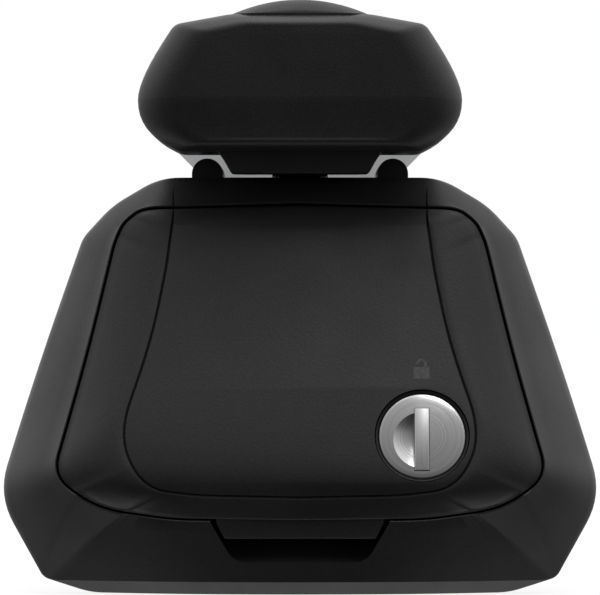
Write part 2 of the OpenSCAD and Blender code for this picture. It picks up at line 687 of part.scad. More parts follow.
// Stirrup with its head in the bar's keel slot and its eye round the tension screw
module bar_clamp(side) {
    head_hw = keel_room_w / 2 - 1.4;
    head_z = keel_room_z + 0.2;
    color([0.35, 0.35, 0.36]) at_end(side) difference() {
        union() {
            block(-head_hw, head_hw, clamp_y0, clamp_y0 + clamp_l, head_z, head_z + keel_room_h - 1.2);
            block(-neck_hw, neck_hw, clamp_y0, clamp_y0 + clamp_l, foot_h - 6, head_z + 0.5);
            block(-shank_hw, shank_hw, shank_y0, shank_y1, roof_z + 5.6, foot_h - 5.4);
        }
        rod_y(0, screw_z, screw_r + 0.6, 0, foot_back);
    }
}
// Two small pins with domed heads in the cheeks beside the neck
dot_x = 4.75;
dot_z = foot_h + 0.15;
dot_r = 0.7;
module clamp_pins(side) {
    color("silver") at_end(side) for (s = [-1, 1]) {
        rod_y(s * dot_x, dot_z, dot_r * 0.55, horn_y0 - 0.3, horn_y0 + 3.8);
        intersection() {
            translate([s * dot_x, horn_y0 + 0.1, dot_z]) sphere(r = dot_r * 1.1);
            block(s * dot_x - 1, s * dot_x + 1, horn_y0 - 1, horn_y0, dot_z - 1, dot_z + 1);
        }
    }
}

// Rail clamp
washer_t = 1.6;
head_l = 6.5;
plate_y = channel_y - plate_t;
module tension_washer(side) {
    color("silver") at_end(side) difference() {
        rod_y(0, screw_z, head_r + 2, plate_y - washer_t, plate_y);
        rod_y(0, screw_z, screw_r + 0.3, 0, foot_back);
    }
}
module tension_screw(side) {
    socket_r = 3.5;
    head_y = plate_y - washer_t - head_l;
    color("silver") at_end(side) difference() {
        union() {
            rod_y(0, screw_z, head_r, head_y, head_y + head_l);
            rod_y(0, screw_z, screw_r, head_y + 1, foot_back - 1);
        }
        translate([0, head_y + 4, screw_z]) rotate([90, 30, 0]) cylinder(r = socket_r, h = 5, $fn = 6);
    }
}
nut_hw = 6.5;
nut_t = 6.5;
nut_y = jaw_y + jaw_t - nut_t + 0.5;
module jaw(side) {
    back = jaw_y + jaw_t;
    pocket_w = 6;
    pocket_gap = 2.4;
    color([0.25, 0.25, 0.26]) at_end(side) difference() {
        union() {
            across_x([[jaw_y - hook_l, hook_z], [jaw_y + 3, hook_z], [back, hook_z + 14], [back, guide_top - 0.3],
                [jaw_y, guide_top - 0.3], [jaw_y, hook_z + 4.5], [jaw_y - hook_l, hook_z + 4.5]], -jaw_hw, jaw_hw);
            block(0.3 - guide_hw, guide_hw - 0.3, back - carriage_l, back, roof_z + 6, guide_top - 0.3);
            block(-tongue_hw, tongue_hw, back - carriage_l, back, tongue_z - tongue_t, tongue_z);
        }
        for (k = [-2, -1, 0, 1]) block((k + 0.5) * (pocket_w + pocket_gap) - pocket_w / 2,
            (k + 0.5) * (pocket_w + pocket_gap) + pocket_w / 2, jaw_y + 3.5, back + 1, hook_z + 14, roof_z);
        block(-nut_hw - 0.1, nut_hw + 0.1, nut_y - 0.1, back + 1, screw_z - nut_hw - 0.1, screw_z + nut_hw + 0.1);
        rod_y(0, screw_z, screw_r + 0.4, 0, foot_back);
    }
}
module jaw_nut(side) {
    color("silver") at_end(side) difference() {
        block(-nut_hw, nut_hw, nut_y, nut_y + nut_t, screw_z - nut_hw, screw_z + nut_hw);
        rod_y(0, screw_z, screw_r + screw_fit, 0, foot_back);
    }
}

// Rubber pads on the rail's top, outer and inner side
pad_hw = 30;
pad_groove = 1;
module saddle_pad(side) {
    y0 = channel_y + 4;
    y1 = jaw_y - jaw_travel - pad_t - 1;
    color([0.05, 0.05, 0.05]) at_end(side) difference() {
        block(-pad_hw, pad_hw, y0, y1, roof_z - pad_t, roof_z);
        for (k = [1:4]) let (x = -pad_hw + k * 2 * pad_hw / 5)
            block(x - 1, x + 1, y0 - 1, y1 + 1, roof_z - pad_t - 1, roof_z - pad_t + pad_groove);
    }
}
module outer_pad(side) {
    color([0.05, 0.05, 0.05]) at_end(side) difference() {
        block(-pad_hw, pad_hw, channel_y, channel_y + pad_t, 8, roof_z - pad_t - 2);
        for (k = [1:4]) let (z = 8 + k * 5)
            block(-pad_hw - 1, pad_hw + 1, channel_y + pad_t - pad_groove, channel_y + pad_t + 1, z - 0.8, z + 0.8);
    }
}
module jaw_pad(side) {
    hw = jaw_hw - 1;
    top = roof_z - pad_t - 1;
    floor_z = hook_z + 4.5;
    color([0.05, 0.05, 0.05]) at_end(side) difference() {
        across_x([[jaw_y - hook_l + 1, floor_z], [jaw_y, floor_z], [jaw_y, top], [jaw_y - pad_t, top],
            [jaw_y - pad_t, floor_z + pad_t], [jaw_y - hook_l + 1, floor_z + pad_t]], -hw, hw);
        for (k = [1:4]) let (z = floor_z + pad_t + k * 4)
            block(-hw - 1, hw + 1, jaw_y - pad_t - 1, jaw_y - pad_t + pad_groove, z - 0.8, z + 0.8);
    }
}

// Pieces that each end of the bar has
END_PIECES = [
    "housing", "chassis", "cover", "hinge_pin", "lock_housing", "lock_core",
    "key_shutter", "lock_cam", "cam_screw", "bar_clamp", "clamp_pins", "tension_screw",
    "tension_washer", "jaw", "jaw_nut", "saddle_pad", "outer_pad", "jaw_pad",
    "end_cap"
];

bar();
top_strip();
housing(0);  // left_housing
chassis(0);  // left_chassis
cover(0);  // left_cover
hinge_pin(0);  // left_hinge_pin
lock_housing(0);  // left_lock_housing
lock_core(0);  // left_lock_core
key_shutter(0);  // left_key_shutter
lock_cam(0);  // left_lock_cam
cam_screw(0);  // left_cam_screw
bar_clamp(0);  // left_bar_clamp
clamp_pins(0);  // left_clamp_pins
tension_screw(0);  // left_tension_screw
tension_washer(0);  // left_tension_washer
jaw(0);  // left_jaw
jaw_nut(0);  // left_jaw_nut
saddle_pad(0);  // left_saddle_pad
outer_pad(0);  // left_outer_pad
jaw_pad(0);  // left_jaw_pad
end_cap(0);  // left_end_cap
housing(1);  // right_housing
chassis(1);  // right_chassis
cover(1);  // right_cover
hinge_pin(1);  // right_hinge_pin
lock_housing(1);  // right_lock_housing
lock_core(1);  // right_lock_core
key_shutter(1);  // right_key_shutter
lock_cam(1);  // right_lock_cam
cam_screw(1);  // right_cam_screw
bar_clamp(1);  // right_bar_clamp
clamp_pins(1);  // right_clamp_pins
tension_screw(1);  // right_tension_screw
tension_washer(1);  // right_tension_washer
jaw(1);  // right_jaw
jaw_nut(1);  // right_jaw_nut
saddle_pad(1);  // right_saddle_pad
outer_pad(1);  // right_outer_pad
jaw_pad(1);  // right_jaw_pad
end_cap(1);  // right_end_cap
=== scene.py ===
"""Looks of a roof rack crossbar: the moulded foot, its cover and lock, the end caps and all finishes.

The exact solids come in as a fixed frame. The left foot, the photographed one, is modelled here and copied
to the right end by half a turn about Z.
"""
import math

import bmesh
import bpy
from mathutils import Matrix, Vector


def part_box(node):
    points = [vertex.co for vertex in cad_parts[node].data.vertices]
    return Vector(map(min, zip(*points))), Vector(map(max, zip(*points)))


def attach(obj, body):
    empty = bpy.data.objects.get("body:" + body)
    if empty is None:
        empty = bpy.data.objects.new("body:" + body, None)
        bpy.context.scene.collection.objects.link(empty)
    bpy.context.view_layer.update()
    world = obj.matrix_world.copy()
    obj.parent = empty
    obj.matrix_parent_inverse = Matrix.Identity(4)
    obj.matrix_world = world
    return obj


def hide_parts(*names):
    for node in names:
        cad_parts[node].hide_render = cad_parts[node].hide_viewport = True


bl_info = {
    "name": "Lockable Roof Rack Crossbar",
    "version": (1, 0, 0),
    "blender": (4, 5, 0),
    "location": "View3D > Sidebar > Roof Rack",
    "description": "Builds the foot, cover, lock and end caps of a roof rack crossbar, with their finishes",
    "category": "Object",
}

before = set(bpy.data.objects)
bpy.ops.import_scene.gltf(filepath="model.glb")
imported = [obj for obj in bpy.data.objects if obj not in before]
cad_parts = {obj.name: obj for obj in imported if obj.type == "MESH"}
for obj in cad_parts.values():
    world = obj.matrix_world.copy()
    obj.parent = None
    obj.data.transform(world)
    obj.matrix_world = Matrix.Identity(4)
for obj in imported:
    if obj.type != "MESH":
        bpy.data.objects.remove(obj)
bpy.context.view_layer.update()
MM = 0.001
BAR_END = -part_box("left_end_cap")[0].y
FOOT_BACK = BAR_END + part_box("left_housing")[1].y

# Corners of the foot's outline in millimetres, from the top down its right side: half width, height and the
# cut of the rounding, or the cuts before and after it. The seam round the cover and the groove round its
# middle panel have as many corners: the front is stretched from the groove over the seam to the silhouette.
FOOT_CORNERS = ((28.2, 83.4, 4), (37.9, 77.7, 3), (43.8, 71.3, 1.6), (52.9, 45, 14),
                (60.82, 19.4, 6.5), (51.6, 3.1, 1.2), (42, 0.1, 2.4), (24.8, 0, 6))
SEAM_CORNERS = ((31.5, 76.9, 3.5, 1.7), (35.2, 74.1, 1.7), (37, 70, 1.7), (42.2, 48, 14),
                (49, 23.8, 4.2), (40.2, 17.5, 5, 5), (33, 16.45, 1.2), (25, 15.4, 4))
GROOVE_CORNERS = ((25.5, 74.4, 1), (26, 71, 1.3, 2.2), (26.8, 65, 2.2), (29.6, 51, 8),
                  (36.2, 31.5, 7.5), (31, 21.4, 5, 4.7), (25.5, 20.65, 0.5), (20, 20, 4))
FOOT_TOP, SEAM_TOP, GROOVE_TOP = 83.4, 77.8, 74.5
SEAM_FOOT, GROOVE_FOOT = 15.1, 19.6
GROOVE_TOP_X = 25.4
# Places on the front: the groove is 0, the seam 0.5 and the silhouette 1
SEAM, SILHOUETTE = 0.5, 1
# Outline of the bar's body from the middle of its crown, and of the end cap's sleeve, which is rounder
BAR_CORNERS = ((13.6, 114.6, 1), (24, 113.1, 1.6), (31.1, 101.5, 3.3), (31.3, 95.3, 3.6), (25.5, 89.5, 3.2))
CAP_CORNERS = ((13.4, 115.7, 2), (24.9, 113.6, 1.3), (32.2, 102.7, 11.2, 4.1), (32.2, 92.2, 6.2, 7.6),
               (24.1, 88.4, 1))
BAR_TOP, BAR_BODY, BAR_KEEL = 114.6, 89.5, 84.6
# The cover's hinge line: its height, how far it lies behind the front, and where the ears on it start and end
HINGE_Z, HINGE_BEHIND = 74.6, 2.6
EAR_NEAR, EAR_FAR = 14, 18
# Most of a straight that one rounding's cut may take, where its cuts are even and where they differ
EVEN_SHARE, UNEVEN_SHARE = 0.48, 0.86
TURN_STEPS = 96
# The photograph's frame in pixels, a pixel's size in metres and the row on which the foot stands
FRAME_WIDTH, FRAME_HEIGHT, PIXEL, BASE_ROW = 600, 595, 0.0002, 594


# Sizes and colours a user may change

def length(name, default, text):
    return bpy.props.FloatProperty(name=name, description=text, default=default, unit="LENGTH", precision=4)


def share(name, default, text):
    return bpy.props.FloatProperty(name=name, description=text, default=default, min=0, max=1,
                                   subtype="FACTOR")


def paint(name, default, text):
    return bpy.props.StringProperty(name=name, description=text + ", as an sRGB hex value", default=default)


class RackFootSizes(bpy.types.PropertyGroup):
    front: length("Front", 0.006, "Inset of the foremost ridge from the bar's end")
    ridge: length("Ridge", 0.022, "Height of the foremost ridge")
    ridge_soft: length("Ridge softness", 0.004, "How softly the ridge turns")
    lean: share("Lean", 0.3, "Backward lean of the front above the ridge")
    flank: bpy.props.FloatProperty(name="Flank sweep", default=5.5,
                                   description="Sweep of the flanks, per metre of squared half width")
    edge: length("Edge rounding", 0.0022, "Rounding between the front and the sides")
    band: length("Base band", 0.0026, "Height of the chamfer band along the base")
    wall: length("Wall", 0.003, "Wall of the moulded foot")
    seam: length("Seam", 0.0004, "Gap round the cover")
    cover_wall: length("Cover wall", 0.0026, "Wall of the cover")
    groove_width: length("Groove width", 0.0004, "Half width of the groove round the middle panel")
    groove_depth: length("Groove depth", 0.00045, "Depth of that groove")


class RackCapSizes(bpy.types.PropertyGroup):
    sleeve: length("Sleeve", 0.06, "Length of the end cap's sleeve")
    wall: length("Wall", 0.0011, "How far the sleeve stands off the bar")
    side_round: length("Side rounding", 0.0085, "Rounding of the cap's sides")
    face: length("Face", 0.005, "Thickness of the cap's face")
    hump: length("Hump", 0.00296, "Height of the hump over the strip's end")
    lip_front: length("Lip setback", 0.007, "Depth of the keel lip behind the cap's face")
    lip_end: length("Lip end", 0.028, "Where the keel lip ends")


class RackLockSizes(bpy.types.PropertyGroup):
    across: length("Distance", 0.0243, "Distance of the lock from the middle")
    height: length("Height", 0.0318, "Height of the lock's centre")
    tilt: bpy.props.FloatProperty(name="Tilt", description="Tilt of the lock, square to the front around it",
                                  default=math.radians(14), subtype="ANGLE")
    ring: length("Ring", 0.00935, "Outer radius of the lock's ring")
    core: length("Core", 0.00866, "Radius of the turning core")
    sleeve: length("Sleeve", 0.009, "Length of the lock's sleeve")


class RackFinishes(bpy.types.PropertyGroup):
    plastic: paint("Moulded plastic", "#1a1a1b", "Black moulded plastic of the foot, the cover and the caps")
    hump: paint("Strip end", "#0b0b0c", "Softer black of the strip's moulded end")
    # The ring's colour is its own black taken darker still: painted shade of the gap round the core
    ring: paint("Lock ring", "#080809", "Black of the lock's ring")
    steel: paint("Turned steel", "#cfcfd0", "Turned face of the lock and its key flap")
    plated: paint("Plated steel", "#b9bcbf", "Zinc-plated screws and pins")
    bar: paint("Anodised aluminium", "#c4c6c8", "Anodised aluminium of the bar")
    rubber: paint("Rubber", "#151516", "Strip and pads")
    cast: paint("Coated casting", "#2a2a2c", "Coated aluminium of the load carrier and the jaw")
    print_grey: paint("Printed symbol", "#4c4c4d", "Grey print of the padlock symbol")
    floor: paint("Floor", "#f0f0f0", "Studio floor")


# Outlines

def curve(start, corner, end, t):
    """Point of a rounding from start to end that leans towards the corner."""
    return start * (1 - t) ** 2 + corner * 2 * t * (1 - t) + end * t ** 2


def half_outline(top, corners, foot, corner_steps=8, straight_steps=4):
    """Right half of an outline, top to foot, with points along each straight. A corner holds its place and
    the cut of its rounding, or the cuts before and after it."""
    path = [Vector(top)] + [Vector(c[:2]) for c in corners] + [Vector(foot)]
    points = [path[0]]
    for at, corner in enumerate(corners, 1):
        before, after = path[at - 1] - path[at], path[at + 1] - path[at]
        most = EVEN_SHARE if len(corner) == 3 else UNEVEN_SHARE
        start = path[at] + before.normalized() * min(corner[2], most * before.length)
        end = path[at] + after.normalized() * min(corner[-1], most * after.length)
        points += [points[-1].lerp(start, (k + 1) / straight_steps) for k in range(straight_steps)]
        points += [curve(start, path[at], end, k / corner_steps) for k in range(1, corner_steps + 1)]
    points += [points[-1].lerp(path[-1], (k + 1) / straight_steps) for k in range(straight_steps)]
    return points


def whole(half):
    """Whole outline, clockwise from the top as seen from the front."""
    return half + [Vector((-p.x, p.y)) for p in half[-2:0:-1]]


def outset(ring, by):
    """Each point of a clockwise outline moved outwards."""
    n = len(ring)
    moved = []
    for i, p in enumerate(ring):
        along = (ring[(i + 1) % n] - ring[i - 1]).normalized()
        moved.append(p + Vector((-along.y, along.x)) * by)
    return moved


def at_depth(outline, y):
    """A plane outline as a ring at one depth."""
    return [Vector((p.x, y, p.y)) for p in outline]


class FootFront:
    """The moulded front of a foot: outlines and depths in millimetres, with y from the bar's end inwards."""

    def __init__(self, sizes):
        self.front, self.ridge, self.soft = sizes.front / MM, sizes.ridge / MM, sizes.ridge_soft / MM
        self.lean, self.flank = sizes.lean, sizes.flank / 1000
        self.silhouette = whole(half_outline((0, FOOT_TOP), FOOT_CORNERS, (0, 0)))
        rounder = [(x, z, max(cut, 5)) for x, z, cut in FOOT_CORNERS]
        self.inside = whole(half_outline((0, FOOT_TOP), rounder, (0, 0)))
        self.seam = whole(half_outline((0, SEAM_TOP), SEAM_CORNERS, (0, SEAM_FOOT)))
        self.groove = whole(half_outline((0, GROOVE_TOP), GROOVE_CORNERS, (0, GROOVE_FOOT)))
        self.sweep = [p.x ** 2 for p in self.silhouette]
        self.hinge = self.at(HINGE_Z) + HINGE_BEHIND, HINGE_Z

    def at(self, z):
        """Depth of the front's middle at a height."""
        return self.front + self.lean * (math.sqrt((z - self.ridge) ** 2 + self.soft ** 2) - self.soft)

    def outline(self, f):
        """The outline at a place between the groove, the seam and the silhouette."""
        if f < SEAM:
            return [a.lerp(b, f / SEAM) for a, b in zip(self.groove, self.seam)]
        return [a.lerp(b, (f - SEAM) / (SILHOUETTE - SEAM)) for a, b in zip(self.seam, self.silhouette)]

    def ring(self, f, out=0.0, back=0.0):
        """An outline laid on the front, moved outwards and back."""
        points = outset(self.outline(f), out) if out else self.outline(f)
        return [Vector((p.x, self.at(p.y) + self.flank * square * f ** 2 + back, p.y))
                for p, square in zip(points, self.sweep)]

    def groove_ring(self, out, back):
        """A row of the groove, which leaves out the level top of its outline."""
        ring = self.ring(0, out)
        start, fade = 74.2, 0.6
        for p in ring:
            p.y += back * max(0, min(1, (start - p.z) / fade))
        return ring


# Modelling helpers

def clear_selection():
    if bpy.context.object and bpy.context.object.mode != "OBJECT":
        bpy.ops.object.mode_set(mode="OBJECT")
    bpy.ops.object.select_all(action="DESELECT")


def choose(piece, *others):
    """Selects pieces and makes the first one active."""
    clear_selection()
    for one in (piece, *others):
        one.select_set(True)
    bpy.context.view_layer.objects.active = piece


def named(name):
    """The piece that an operator has just added, under its name."""
    piece = bpy.context.object
    piece.name = piece.data.name = name
    return piece


def row_point(p):
    """A point of the left foot, in millimetres from the bar's end, as metres in the frame."""
    return Vector((p[0] * MM, p[1] * MM - BAR_END, p[2] * MM))


def edit_points(piece):
    """The mesh that is being edited, with its points ready to be looked up."""
    mesh = bmesh.from_edit_mesh(piece.data)
    mesh.verts.ensure_lookup_table()
    return mesh


def key_of(co):
    return tuple(round(c * 1e7) for c in co)


def select_points(mesh, wanted):
    for part in (mesh.verts, mesh.edges, mesh.faces):
        for item in part:
            item.select = False
    for v in wanted:
        v.select = True
    mesh.select_flush(True)


def circle_piece(name, points, fill="NOTHING"):
    """A closed line through points, open for editing."""
    clear_selection()
    bpy.ops.mesh.primitive_circle_add(vertices=len(points), radius=0.01, fill_type=fill, location=(0, 0, 0))
    piece = named(name)
    bpy.ops.object.mode_set(mode="EDIT")
    bpy.ops.mesh.select_mode(type="VERT")
    for v, p in zip(edit_points(piece).verts, points):
        v.co = p
    bmesh.update_edit_mesh(piece.data)
    return piece


def close_editing():
    """Turns all faces outwards and ends the editing."""
    bpy.ops.mesh.select_all(action="SELECT")
    bpy.ops.mesh.normals_make_consistent(inside=False)
    bpy.ops.object.mode_set(mode="OBJECT")


def weld():
    bpy.ops.mesh.select_all(action="SELECT")
    bpy.ops.mesh.remove_doubles(threshold=1e-7)


def loft(name, rings, closed=False):
    """Extrudes a line of edges from ring to ring. The ends are closed, or joined to each other."""
    rings = [[row_point(p) for p in ring] for ring in rings]
    piece = circle_piece(name, rings[0])
    rows = [list(range(len(rings[0])))]
    for ring in rings[1:] + ([rings[0]] if closed else []):
        mesh = edit_points(piece)
        last = {key_of(mesh.verts[v].co): i for i, v in enumerate(rows[-1])}
        select_points(mesh, [mesh.verts[v] for v in rows[-1]])
        bmesh.update_edit_mesh(piece.data)
        bpy.ops.mesh.extrude_region()
        mesh = edit_points(piece)
        row = [0] * len(ring)
        for v in mesh.verts:
            if v.select:
                row[last[key_of(v.co)]] = v.index
        for v, p in zip(row, ring):
            mesh.verts[v].co = p
        rows.append(row)
    if closed:
        weld()
    else:
        close_end(piece, rows[0])
        close_end(piece, rows[-1])
    close_editing()
    return piece


def close_end(piece, row):
    """Fills an end with strips that join mirrored points."""
    n = len(row)
    for i in range(n // 2):
        mesh = edit_points(piece)
        four = {row[i], row[i + 1], row[(n - i) % n], row[n - i - 1]}
        select_points(mesh, [mesh.verts[v] for v in four])
        bpy.ops.mesh.edge_face_add()


def prism_piece(name, outline, low, high, along="y"):
    """A plane outline pulled along Y or X of the left foot, in millimetres."""
    if along == "y":
        points, step = [(p[0], low, p[1]) for p in outline], (0, (high - low) * MM, 0)
    else:
        points, step = [(low, p[0], p[1]) for p in outline], ((high - low) * MM, 0, 0)
    piece = circle_piece(name, [row_point(p) for p in points], "NGON")
    bpy.ops.mesh.select_all(action="SELECT")
    bpy.ops.mesh.extrude_region_move(TRANSFORM_OT_translate={"value": step})
    close_editing()
    return piece


def turned_piece(name, profile):
    """Spins a profile of radius and height, in millimetres, once round the lock's axis."""
    piece = circle_piece(name, [(r * MM, 0, z * MM) for r, z in profile])
    if profile[0][0] == 0:
        mesh = edit_points(piece)
        mesh.edges.remove(mesh.edges.get((mesh.verts[0], mesh.verts[len(profile) - 1])))
        bmesh.update_edit_mesh(piece.data)
    bpy.ops.mesh.select_all(action="SELECT")
    bpy.ops.mesh.spin(steps=TURN_STEPS, angle=2 * math.pi, center=(0, 0, 0), axis=(0, 0, 1))
    weld()
    close_editing()
    return piece


def settle(piece):
    """Puts a piece's place into its mesh."""
    choose(piece)
    bpy.ops.object.transform_apply(location=True, rotation=True, scale=True)


def block(name, low, high):
    """A block between two corners, in metres."""
    clear_selection()
    bpy.ops.mesh.primitive_cube_add(size=1, location=(low + high) / 2, scale=high - low)
    piece = named(name)
    settle(piece)
    return piece


def tube(name, vertices, radius, long, place, rotation=(0, 0, 0)):
    """A cylinder with its sizes in millimetres and its place in metres."""
    clear_selection()
    bpy.ops.mesh.primitive_cylinder_add(vertices=vertices, radius=radius * MM, depth=long * MM,
                                        location=place, rotation=rotation)
    piece = named(name)
    settle(piece)
    return piece


def hinge_tube(name, y, z, radius, low, high):
    """A round on the cover's hinge line."""
    piece = tube(name, 40, radius, high - low, row_point(((low + high) / 2, y, z)), (0, math.pi / 2, 0))
    soften(piece, 0.2, 50, 2)
    return piece


def combine(piece, tool, operation="DIFFERENCE"):
    """Cuts or joins one closed piece with another, which is used up."""
    choose(piece)
    cut = piece.modifiers.new("cut", "BOOLEAN")
    cut.object, cut.operation, cut.solver = tool, operation, "EXACT"
    bpy.ops.object.modifier_apply(modifier=cut.name)
    bpy.data.objects.remove(tool)
    if not piece.data.polygons:
        raise RuntimeError(f"{piece.name}: nothing is left of it after a {operation.lower()}")


def join(piece, *others):
    choose(piece, *others)
    bpy.ops.object.join()


def soften(piece, width, angle=38, segments=3):
    """Rounds a piece's sharp edges."""
    choose(piece)
    edges = piece.modifiers.new("edges", "BEVEL")
    edges.width, edges.segments, edges.angle_limit = width * MM, segments, math.radians(angle)
    edges.limit_method, edges.use_clamp_overlap, edges.harden_normals = "ANGLE", True, False
    bpy.ops.object.modifier_apply(modifier=edges.name)


def doubled(piece):
    """A second piece with a mesh of its own."""
    twin = piece.copy()
    twin.data = piece.data.copy()
    bpy.context.scene.collection.objects.link(twin)
    return twin


def finish_piece(piece, material, body, nodes=(), angle=32):
    """Smooths, paints and mounts a piece of the left foot, and copies it to the right end."""
    choose(piece)
    bpy.ops.object.shade_smooth_by_angle(angle=math.radians(angle))
    piece.data.materials.clear()
    piece.data.materials.append(material)
    twin = doubled(piece)
    twin.data.transform(Matrix.Rotation(math.pi, 4, "Z"))
    base = piece.name
    for one, side in ((piece, "left_"), (twin, "right_")):
        one.name = one.data.name = side + base
        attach(one, body if body == "bar" else side + body)
        if nodes:
            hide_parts(*(side + node for node in nodes))


# Materials

def linear(hex_value):
    """An sRGB hex value as linear colour."""
    parts = [int(hex_value[i:i + 2], 16) / 255 for i in (1, 3, 5)]
    return tuple(c / 12.92 if c <= 0.04045 else ((c + 0.055) / 1.055) ** 2.4 for c in parts) + (1.0,)


def add_node(tree, kind, values=None, links=None, **settings):
    """Adds a node, with its settings, its constant sockets and its links from other sockets."""
    node = tree.nodes.new(kind)
    for name, value in settings.items():
        setattr(node, name, value)
    for name, value in (values or {}).items():
        node.inputs[name].default_value = value
    for name, source in (links or {}).items():
        tree.links.new(source, node.inputs[name])
    return node


def new_material(name):
    material = bpy.data.materials.new(name)
    material.use_nodes = True
    material.node_tree.nodes.clear()
    return material, material.node_tree


def object_place(tree, scale=None):
    """Object coordinates in metres, or stretched ones."""
    place = add_node(tree, "ShaderNodeTexCoord").outputs["Object"]
    if scale is None:
        return place
    return add_node(tree, "ShaderNodeMapping", {"Scale": scale}, {"Vector": place}).outputs["Vector"]


def noise(tree, place, size, detail, roughness=0.5):
    """Noise with features of a size in millimetres."""
    return add_node(tree, "ShaderNodeTexNoise", {"Scale": 1 / (size * MM), "Detail": detail,
                                                 "Roughness": roughness}, {"Vector": place}).outputs["Fac"]


def ramp(tree, source, stops):
    """Colours at places along a value."""
    node = add_node(tree, "ShaderNodeValToRGB", links={"Fac": source})
    elements = node.color_ramp.elements
    for at, _ in stops[1:-1]:
        elements.new(at)
    for element, (at, colour) in zip(elements, stops):
        element.position, element.color = at, colour
    return node.outputs["Color"]


def tint(tree, source, colour, dark, light, start=0.0, stop=1.0):
    """A hex colour that a value makes darker and lighter."""
    base = linear(colour)[:3]
    return ramp(tree, source, [(at, tuple(min(1, times * c) for c in base) + (1,))
                               for at, times in ((start, dark), (stop, light))])


def gloss(tree, source, low, high):
    """Roughness that a value moves between two limits."""
    limits = {"From Min": 0.3, "From Max": 0.7, "To Min": low, "To Max": high}
    return add_node(tree, "ShaderNodeMapRange", limits, {"Value": source}).outputs["Result"]


def relief(tree, source, strength, depth):
    """Bump with a depth in millimetres."""
    return add_node(tree, "ShaderNodeBump", {"Strength": strength, "Distance": depth * MM},
                    {"Height": source}).outputs["Normal"]


def finish_surface(tree, values, links):
    shader = add_node(tree, "ShaderNodeBsdfPrincipled", values, links)
    add_node(tree, "ShaderNodeOutputMaterial", links={"Surface": shader.outputs["BSDF"]})


def moulded_plastic(name, colour, rough, grain=0.5, depth=0.06):
    """Glass-filled nylon or ABS from a spark-eroded mould: an even, fine leather-like grain that breaks up
    the highlight. The real grain is about 0.15 mm; it is drawn at 0.5 mm so that it shows."""
    material, tree = new_material(name)
    place = object_place(tree)
    pits, flow = noise(tree, place, grain, 2.0, 0.6), noise(tree, place, 14, 2.0)
    finish_surface(tree, {"IOR": 1.5}, {"Base Color": tint(tree, pits, colour, 0.7, 1.35, 0.3, 0.7),
                                        "Roughness": gloss(tree, flow, rough - 0.04, rough + 0.05),
                                        "Normal": relief(tree, pits, 0.6, depth)})
    return material


def rubber(name, colour):
    """EPDM rubber, extruded: nearly matt, faintly streaked along its length."""
    material, tree = new_material(name)
    streak = noise(tree, object_place(tree, (1.0, 0.05, 1.0)), 0.8, 3.0)
    finish_surface(tree, {"IOR": 1.5, "Roughness": 0.7},
                   {"Base Color": tint(tree, streak, colour, 0.75, 1.25),
                    "Normal": relief(tree, streak, 0.4, 0.02)})
    return material


def drawn_metal(name, colour, rough, streak, along, spread=0.1):
    """Metal with fine parallel marks, from brushing, drawing or extrusion."""
    material, tree = new_material(name)
    marks = noise(tree, object_place(tree, along), streak, 4.0)
    finish_surface(tree, {"Metallic": 1.0}, {"Base Color": tint(tree, marks, colour, 1 - spread, 1 + spread),
                                             "Roughness": gloss(tree, marks, rough - 0.05, rough + 0.07),
                                             "Normal": relief(tree, marks, 0.25, 0.01)})
    return material


def turned_steel(name, colour, rough):
    """Steel faced on a lathe: fine rings round the lock's axis, which give a soft, silky gradient. The real
    rings are about 0.05 mm apart and are drawn at 0.3 mm."""
    material, tree = new_material(name)
    apart = add_node(tree, "ShaderNodeSeparateXYZ", links={"Vector": object_place(tree)})
    # Both locks use the rings of one axis: a point of the left lock is turned half round first
    end = add_node(tree, "ShaderNodeMath", links={0: apart.outputs["Y"]}, operation="SIGN")
    turned = [add_node(tree, "ShaderNodeMath", links={0: apart.outputs[axis], 1: end.outputs[0]},
                       operation="MULTIPLY").outputs[0] for axis in "XY"]
    same = add_node(tree, "ShaderNodeCombineXYZ", links={"X": turned[0], "Y": turned[1],
                                                         "Z": apart.outputs["Z"]})
    back = (Matrix.Rotation(math.pi, 4, "Z") @ lock_frame(bpy.context.scene.rack_lock)).inverted()
    own = add_node(tree, "ShaderNodeMapping",
                   {"Location": back.to_translation(), "Rotation": back.to_euler()},
                   {"Vector": same.outputs["Vector"]})
    flat = add_node(tree, "ShaderNodeVectorMath", {1: (1, 1, 0)}, {0: own.outputs["Vector"]},
                    operation="MULTIPLY")
    radius = add_node(tree, "ShaderNodeVectorMath", links={0: flat.outputs["Vector"]}, operation="LENGTH")
    marks = add_node(tree, "ShaderNodeTexNoise", {"Scale": 1 / (0.3 * MM), "Detail": 3.0},
                     {"W": radius.outputs["Value"]}, noise_dimensions="1D").outputs["Fac"]
    finish_surface(tree, {"Metallic": 1.0}, {"Base Color": tint(tree, marks, colour, 0.86, 1.12),
                                             "Roughness": gloss(tree, marks, rough - 0.04, rough + 0.06)})
    return material


def coated_casting(name, colour):
    """Die-cast aluminium under an electrophoretic coat: a slightly orange-peeled satin skin."""
    material, tree = new_material(name)
    peel = noise(tree, object_place(tree), 1.4, 3.0)
    finish_surface(tree, {"IOR": 1.5, "Roughness": 0.42},
                   {"Base Color": tint(tree, peel, colour, 0.85, 1.15),
                    "Normal": relief(tree, peel, 0.4, 0.03)})
    return material


